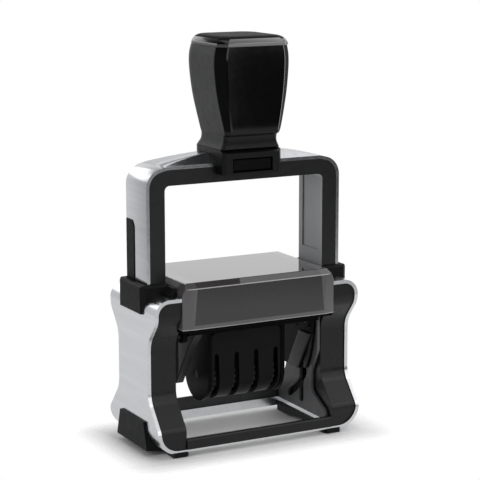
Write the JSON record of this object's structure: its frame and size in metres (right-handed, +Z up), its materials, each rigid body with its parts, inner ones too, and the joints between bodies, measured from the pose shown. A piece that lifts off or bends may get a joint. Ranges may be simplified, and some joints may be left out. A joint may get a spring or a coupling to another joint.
{
  "type": "date stamp",
  "caption": "Self-inking hand date stamp: a sprung bow under a tall grip pushes and half-turns a die carriage with setting wheels from the pad to the paper.",
  "frame": {"origin": "centre of the footprint on the desk, under the middle of the die", "axes": "+Z up along the press, +X to the right seen from the front, -Y towards the front rail"},
  "size_m": [0.0904, 0.045, 0.1585],
  "materials": {
    "satin_silver": "satin",
    "black_moulding": "fine grain",
    "cam_black": "smooth",
    "smoked_cover": "glossy, smoky",
    "tray_grey": "satin",
    "felt": "inked felt",
    "gloss_black": "high gloss",
    "soft_grey": "soft touch",
    "steel": "drawn",
    "plate_grey": "smooth",
    "die_rubber": "matte",
    "band_rubber": "matte",
    "bridge_white": "smooth",
    "wheel_grey": "smooth"
  },
  "bodies": {
    "base": {"body_band": "satin_silver", "left_column": "black_moulding", "right_column": "black_moulding", "front_rail": "black_moulding", "rear_rail": "black_moulding", "left_collar": "black_moulding", "right_collar": "black_moulding", "left_foot": "black_moulding", "right_foot": "black_moulding", "left_cam_plate": "cam_black", "right_cam_plate": "cam_black", "pad_housing": "black_moulding", "pad_cover": "smoked_cover", "spring_posts": "steel", "left_spring": "steel", "right_spring": "steel"},
    "pad": {"pad_tray": "tray_grey", "ink_pad": "felt"},
    "bow": {"bow_strap": "satin_silver", "bow_liner": "black_moulding", "left_leg_insert": "black_moulding", "right_leg_insert": "black_moulding", "neck_bracket": "soft_grey", "neck_screws": "steel", "grip_core": "gloss_black", "soft_sleeve": "soft_grey", "front_panel": "gloss_black", "top_cap": "gloss_black", "axle_pins": "steel"},
    "button": {"lock_button": "gloss_black"},
    "carriage": {"carriage_frame": "cam_black", "left_arm": "tray_grey", "right_arm": "tray_grey", "guide_pins": "steel", "text_plate": "plate_grey", "rubber_die": "die_rubber", "date_housing": "cam_black", "date_cover": "cam_black", "band_bridge": "bridge_white", "wheel_axle": "steel", "date_band_1": "band_rubber", "date_band_2": "band_rubber", "date_band_3": "band_rubber", "date_band_4": "band_rubber"},
    "wheel_1": {"date_wheel_1": "wheel_grey"},
    "wheel_2": {"date_wheel_2": "wheel_grey"},
    "wheel_3": {"date_wheel_3": "wheel_grey"},
    "wheel_4": {"date_wheel_4": "wheel_grey"}
  },
  "joints": [
    {"name": "bow_press", "type": "slide", "parent": "base", "child": "bow", "axis": [0, 0, -1], "range_m": [0, 0.035], "stiffness_N_per_m": 400, "springref_m": -0.02, "deforming": ["left_spring", "right_spring"]},
    {"name": "carriage_turn", "type": "hinge", "parent": "bow", "child": "carriage", "pos_m": [0, 0, 0.0448], "axis": [1, 0, 0], "range_deg": [0, 180]},
    {"name": "lock_button_press", "type": "slide", "parent": "bow", "child": "button", "axis": [0, 1, 0], "range_m": [0, 0.0012], "stiffness_N_per_m": 300, "springref_m": -0.001},
    {"name": "pad_pull", "type": "slide", "parent": "base", "child": "pad", "axis": [0, 1, 0], "range_m": [0, 0.045]},
    {"name": "date_wheel_1_turn", "type": "hinge", "parent": "carriage", "child": "wheel_1", "pos_m": [0, 0, 0.0258], "axis": [1, 0, 0], "continuous": true},
    {"name": "date_wheel_2_turn", "type": "hinge", "parent": "carriage", "child": "wheel_2", "pos_m": [0, 0, 0.0258], "axis": [1, 0, 0], "continuous": true},
    {"name": "date_wheel_3_turn", "type": "hinge", "parent": "carriage", "child": "wheel_3", "pos_m": [0, 0, 0.0258], "axis": [1, 0, 0], "continuous": true},
    {"name": "date_wheel_4_turn", "type": "hinge", "parent": "carriage", "child": "wheel_4", "pos_m": [0, 0, 0.0258], "axis": [1, 0, 0], "continuous": true}
  ],
  "couplings": [
    {"joint": "carriage_turn", "follows": "bow_press", "rad_per_m": 89.76}
  ]
}
